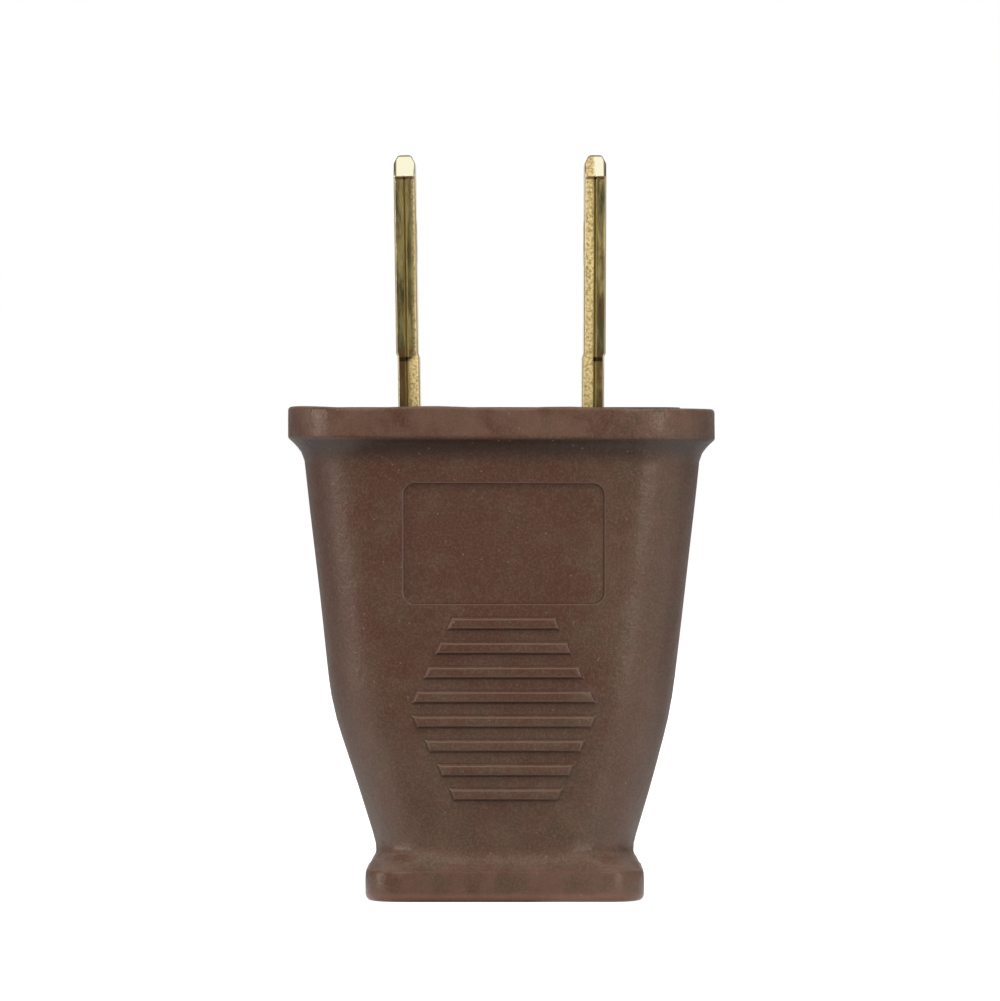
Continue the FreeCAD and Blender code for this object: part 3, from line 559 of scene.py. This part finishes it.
cover_shape = own_copy("cover")
round_edges(cover_shape, FACE_ROUND, on_face_detail)
round_edges(cover_shape, EDGE_ROUND, on_openings)
slice_up(cover_shape, BLOCK_PITCH)
melt_foot_corners(cover_shape)
soften_cover(cover_shape)
put_piece(cover_shape, "moulded_cover", vinyl(), "housing", "cover")


# The core is the hard dark insert that carries the blades. It is moulded in two halves, which meet on the
# plug's middle plane and snap into the cover. Only its face shows, a shade above the cover's rim.
CORE_ROUND = 0.05
CORE_FACE_FROM = 33.5
CORE_BROWN = (0.022, 0.015, 0.012, 1)
CORE_WORN = (0.045, 0.033, 0.027, 1)
CORE_CLOUD_SIZE = 1.8
CORE_RELIEF = 0.2
CORE_RELIEF_DEPTH = 0.012
CORE_ROUGHNESS = 0.34


def core_plastic():
    """Hard plastic, almost black, with paler worn clouds."""
    material, add, join = new_material("core_plastic")
    place = add("ShaderNodeTexCoord").outputs["Object"]
    clouds = noise_of(add, join, place, CORE_CLOUD_SIZE, 4.0, 0.65)
    worn = step_up(add, join, clouds, 0.45, 0.75, 0.8)
    fine = noise_of(add, join, place, CORE_RELIEF)
    bump = add("ShaderNodeBump", Strength=0.4, Distance=CORE_RELIEF_DEPTH * MM)
    join(fine, bump.inputs["Height"])
    skin = add("ShaderNodeBsdfPrincipled")
    join(mix_colours(add, join, worn, CORE_BROWN, CORE_WORN), skin.inputs["Base Color"])
    grained = calculate(add, join, "MULTIPLY", fine, 0.2)
    join(calculate(add, join, "ADD", CORE_ROUGHNESS, grained), skin.inputs["Roughness"])
    join(bump.outputs[0], skin.inputs["Normal"])
    finish_material(add, join, skin.outputs[0])
    return material


def on_core_face(edge):
    """The edges of the face and of the blades' slots in it."""
    return turn_of(edge) > 60 and middle_of(edge).z > CORE_FACE_FROM


hard_brown = core_plastic()
for half in ("core_front", "core_back"):
    shape = own_copy(half)
    round_edges(shape, CORE_ROUND, on_core_face, segments=1)
    put_piece(shape, f"{half}_moulding", hard_brown, "housing", half)


# The blades are brass strip folded double, and each turns on its trunnions in the core. Their broad sides are
# rolled smooth. Their narrow sides are cut: rough bright metal on the inner layer, and dark with age on the
# outer one. The heights of the crimp, the tip and the burr count from the pivots.
PIVOT_HEIGHT = 32.8
PIVOT_PLACE = 6.35
LEAN = {"left": 0.85, "right": 0.25}
HALF_WIDTH = 3.175
BLADE_ROUND = 0.18
BLADE_FOOT = 33.8
HOLE_REACH = 1.7
EDGE_REFLECTS_DARK = (HALF_WIDTH - 0.5, HALF_WIDTH - 0.12)
EDGE_GLINT = (HALF_WIDTH - 0.11, HALF_WIDTH - 0.08)
SIDE_STARTS = (HALF_WIDTH - 0.045, HALF_WIDTH - 0.015)
SEAM_PLACE = 0.1
FOLD_SPAN = (SEAM_PLACE - 0.12, SEAM_PLACE + 0.12)
FOLD_STARTS = (2.8, 2.9)
CRIMP_HEIGHT = 4.8
CRIMP_RISE = (CRIMP_HEIGHT - 0.3, CRIMP_HEIGHT + 0.1)
CRIMP_SHADE_LINE = (CRIMP_HEIGHT - 0.35, CRIMP_HEIGHT - 0.05)
TIP_CUT = 17.25
TIP_STARTS = (TIP_CUT, TIP_CUT + 0.05)
TIP_SIDES = (0.63, 0.69)
TIP_TOP = 18.8
TIP_ENDS = (TIP_TOP - 0.14, TIP_TOP - 0.08)
BURR_LINE = (TIP_CUT - 0.2, TIP_CUT)

GOLD = (0.88, 0.67, 0.28, 1)
PALE_GOLD = (0.93, 0.80, 0.47, 1)
TORN_GOLD = (0.95, 0.76, 0.36, 1)
TORN_SHADE = (0.50, 0.36, 0.14, 1)
TIP_HIGHLIGHT_GOLD = (0.97, 0.93, 0.68, 1)
OLIVE = (0.38, 0.305, 0.12, 1)
DARK_OLIVE = (0.10, 0.088, 0.043, 1)
UMBER = (0.14, 0.07, 0.03, 1)
DEEP_BROWN = (0.03, 0.018, 0.012, 1)
FOLD_BROWN = (0.42, 0.33, 0.14, 1)
SCORED_BROWN = (0.42, 0.25, 0.10, 1)
AGED_BLUR = {"left": 0.32, "right": 0.12}
AGED_RISE = {"left": 0.5, "right": 0.0}
AGED_WANDER = {"left": 0.7, "right": 0.35}
FOOT_BROWN = {"left": 0.8, "right": 0.2}
TIP_SCORED = {"left": 0.0, "right": 0.9}
STREAK_SIZE = 0.28
STREAK_SQUEEZE = 0.14
TARNISH_SIZE = 2.4
TORN_SIZE = 0.2
BLOTCH_SIZE = 0.5
BRASS_RELIEF_DEPTH = 0.05
BRASS_ROUGHNESS = 0.15
STREAKY_ROUGHNESS = 0.12
CUT_ROUGHNESS = 0.12
TORN_ROUGHNESS = 0.14


def band(add, join, value, span, soft):
    """1 where a value lies in a span, with soft ends, and 0 elsewhere, all in millimetres."""
    rise = rise_over(add, join, value, (span[0] - soft, span[0] + soft))
    past = rise_over(add, join, value, (span[1] - soft, span[1] + soft))
    return calculate(add, join, "SUBTRACT", rise, past)


def brass(side, way):
    """Brass for one blade. The pattern is laid out in the blade's own upright place, with X outwards."""
    material, add, join = new_material(f"rolled_brass_{side}")
    lean = math.radians(LEAN[side]) * way
    upright = Matrix.Rotation(-lean, 3, "Y")
    shift = -(upright @ Vector((PIVOT_PLACE * way, 0, PIVOT_HEIGHT)))
    put = add("ShaderNodeMapping", vector_type="POINT")
    put.inputs["Rotation"].default_value = (0, -lean, 0)
    put.inputs["Location"].default_value = shift * MM
    join(add("ShaderNodeTexCoord").outputs["Object"], put.inputs["Vector"])
    place = put.outputs[0]
    split = add("ShaderNodeSeparateXYZ")
    join(place, split.inputs[0])
    outward = calculate(add, join, "MULTIPLY", split.outputs["X"], float(way))
    height = split.outputs["Z"]
    aside = calculate(add, join, "ABSOLUTE", split.outputs["Y"])

    # Rolled faces: pale gold with fine lengthwise streaks and some tarnish.
    streaks = add("ShaderNodeMapping", vector_type="POINT")
    streaks.inputs["Scale"].default_value = (1, 1, STREAK_SQUEEZE)
    join(place, streaks.inputs["Vector"])
    rolled = noise_of(add, join, streaks.outputs[0], STREAK_SIZE, 4.0, 0.6)
    tarnish = noise_of(add, join, place, TARNISH_SIZE, 4.0, 0.6)
    colour = mix_colours(add, join, step_up(add, join, tarnish, 0.42, 0.7, 0.6), PALE_GOLD, GOLD)
    colour = mix_colours(add, join, step_up(add, join, rolled, 0.5, 0.8, 0.3), colour, OLIVE)
    # Toward the narrow sides a painted dark reflection, then a painted pale glint on the rounded corner.
    colour = mix_colours(add, join, rise_over(add, join, aside, EDGE_REFLECTS_DARK, 0.9), colour, UMBER)
    colour = mix_colours(add, join, rise_over(add, join, aside, EDGE_GLINT), colour, PALE_GOLD)

    # Cut narrow sides: torn bright metal inside and dark patina outside, which meet in a wandering line,
    # further in above the crimp.
    torn = noise_of(add, join, place, TORN_SIZE, 4.0, 0.7)
    blotches = noise_of(add, join, streaks.outputs[0], BLOTCH_SIZE, 3.0, 0.6)
    wander = calculate(add, join, "SUBTRACT", blotches, 0.5)
    wander = calculate(add, join, "MULTIPLY", wander, AGED_WANDER[side] * MM)
    edge_place = calculate(add, join, "ADD", outward, wander)
    above_crimp = rise_over(add, join, height, CRIMP_RISE)
    lifted = calculate(add, join, "MULTIPLY", above_crimp, AGED_RISE[side] * MM)
    edge_place = calculate(add, join, "ADD", edge_place, lifted)
    aged = rise_over(add, join, edge_place, (-AGED_BLUR[side], AGED_BLUR[side]))
    bright_metal = mix_colours(add, join, step_up(add, join, torn, 0.38, 0.56), TORN_SHADE, TORN_GOLD)
    patina = mix_colours(add, join, step_up(add, join, blotches, 0.38, 0.66), DARK_OLIVE, OLIVE)
    patina = mix_colours(add, join, step_up(add, join, tarnish, 0.5, 0.66, 0.8), patina, UMBER)
    below_crimp = calculate(add, join, "SUBTRACT", 1.0, above_crimp)
    below_crimp = calculate(add, join, "MULTIPLY", below_crimp, FOOT_BROWN[side])
    patina = mix_colours(add, join, below_crimp, patina, UMBER)
    cut_colour = mix_colours(add, join, aged, bright_metal, patina)

    # The fold's brown line runs down the middle, and painted shade of the crimp's step is a dark line across
    # the outer layer.
    fold = band(add, join, outward, FOLD_SPAN, 0.02)
    fold = calculate(add, join, "MULTIPLY", fold, rise_over(add, join, aside, FOLD_STARTS))
    in_fold = calculate(add, join, "MULTIPLY", fold, 0.85)
    cut_colour = mix_colours(add, join, in_fold, cut_colour, FOLD_BROWN)
    crimp = calculate(add, join, "MULTIPLY", band(add, join, height, CRIMP_SHADE_LINE, 0.05), aged)
    crimp = calculate(add, join, "MULTIPLY", crimp, 0.9)
    cut_colour = mix_colours(add, join, crimp, cut_colour, DEEP_BROWN)
    cut_side = calculate(add, join, "MAXIMUM", rise_over(add, join, aside, SIDE_STARTS), fold)
    colour = mix_colours(add, join, cut_side, colour, cut_colour)

    # The tip's slanting cut is painted pale as the highlight it catches from above, inside a dark outline and
    # above a burr.
    tip = rise_over(add, join, height, TIP_STARTS)
    unaged = calculate(add, join, "SUBTRACT", 1.0, aged)
    scored = calculate(add, join, "MULTIPLY", unaged, TIP_SCORED[side])
    scored_metal = mix_colours(add, join, step_up(add, join, torn, 0.4, 0.6), SCORED_BROWN, GOLD)
    tip_colour = mix_colours(add, join, scored, TIP_HIGHLIGHT_GOLD, scored_metal)
    at_side = rise_over(add, join, calculate(add, join, "ABSOLUTE", outward), TIP_SIDES)
    at_end = rise_over(add, join, height, TIP_ENDS)
    outline = calculate(add, join, "MULTIPLY", calculate(add, join, "MAXIMUM", at_side, at_end), 0.85)
    tip_colour = mix_colours(add, join, outline, tip_colour, UMBER)
    colour = mix_colours(add, join, tip, colour, tip_colour)
    burr = calculate(add, join, "MULTIPLY", band(add, join, height, BURR_LINE, 0.03), cut_side)
    colour = mix_colours(add, join, calculate(add, join, "MULTIPLY", burr, 0.85), colour, UMBER)

    torn_side = calculate(add, join, "MULTIPLY", cut_side, calculate(add, join, "SUBTRACT", 1.0, tip))
    bright_side = calculate(add, join, "MULTIPLY", torn_side, unaged)
    rise = calculate(add, join, "MULTIPLY", torn, torn_side)
    rise = calculate(add, join, "ADD", calculate(add, join, "MULTIPLY", rolled, 0.1), rise)
    bump = add("ShaderNodeBump", Strength=0.8, Distance=BRASS_RELIEF_DEPTH * MM)
    join(rise, bump.inputs["Height"])
    metal = add("ShaderNodeBsdfPrincipled", Metallic=1.0)
    roughness = BRASS_ROUGHNESS
    for mask, more in (
        (rolled, STREAKY_ROUGHNESS),
        (torn_side, CUT_ROUGHNESS),
        (bright_side, TORN_ROUGHNESS),
    ):
        roughness = calculate(add, join, "ADD", roughness, calculate(add, join, "MULTIPLY", mask, more))
    join(roughness, metal.inputs["Roughness"])
    join(colour, metal.inputs["Base Color"])
    join(bump.outputs[0], metal.inputs["Normal"])
    finish_material(add, join, metal.outputs[0])
    return material


def blade_corners(side, way):
    """A test for the edges round the blade's two broad faces, clear of the fold, the hole and the foot."""
    upright = Matrix.Rotation(-math.radians(LEAN[side]) * way, 3, "Y")

    def wanted(edge):
        spot = upright @ (middle_of(edge) - Vector((PIVOT_PLACE * way, 0, PIVOT_HEIGHT)))
        in_fold = abs(spot.x - SEAM_PLACE * way) < 0.3 and abs(spot.y) > HALF_WIDTH - 0.2
        in_hole = abs(spot.y) < HOLE_REACH and spot.z < TIP_CUT
        outline = turn_of(edge) > 60 and edge.calc_face_angle_signed() > 0
        standing = min(vert.co.z for vert in edge.verts) > (BLADE_FOOT - 0.01) * MM
        return outline and standing and not in_fold and not in_hole

    return wanted


for side, way in (("left", -1), ("right", 1)):
    node = f"blade_{side}"
    shape = own_copy(node)
    cut_across(shape, Vector((0, 0, BLADE_FOOT * MM)), Vector((0, 0, 1)))
    round_edges(shape, BLADE_ROUND, blade_corners(side, way), segments=3)
    put_piece(shape, f"folded_{node}", brass(side, way), node, node)


# The springs are bowed strips of spring steel, one in each of the core's chambers. They press the blades'
# tails inwards, and flatten against the chambers' outer walls as the blades are pinched.
SPRING_STEEL = (0.45, 0.46, 0.48, 1)
DARK_STEEL = (0.33, 0.34, 0.37, 1)
DRAWN_SIZE = 0.25
STEEL_ROUGHNESS = 0.22


def spring_steel():
    """Drawn steel in two greys."""
    material, add, join = new_material("spring_steel")
    place = add("ShaderNodeTexCoord").outputs["Object"]
    drawn = noise_of(add, join, place, DRAWN_SIZE, 3.0)
    metal = add("ShaderNodeBsdfPrincipled", Metallic=1.0)
    join(mix_colours(add, join, drawn, SPRING_STEEL, DARK_STEEL), metal.inputs["Base Color"])
    streaky = calculate(add, join, "MULTIPLY", drawn, 0.15)
    join(calculate(add, join, "ADD", STEEL_ROUGHNESS, streaky), metal.inputs["Roughness"])
    finish_material(add, join, metal.outputs[0])
    return material


steel = spring_steel()
for side, way in (("left", -1), ("right", 1)):
    node = f"spring_{side}"
    spring = put_piece(own_copy(node), f"leaf_{node}", steel, "housing", node)
    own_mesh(spring)
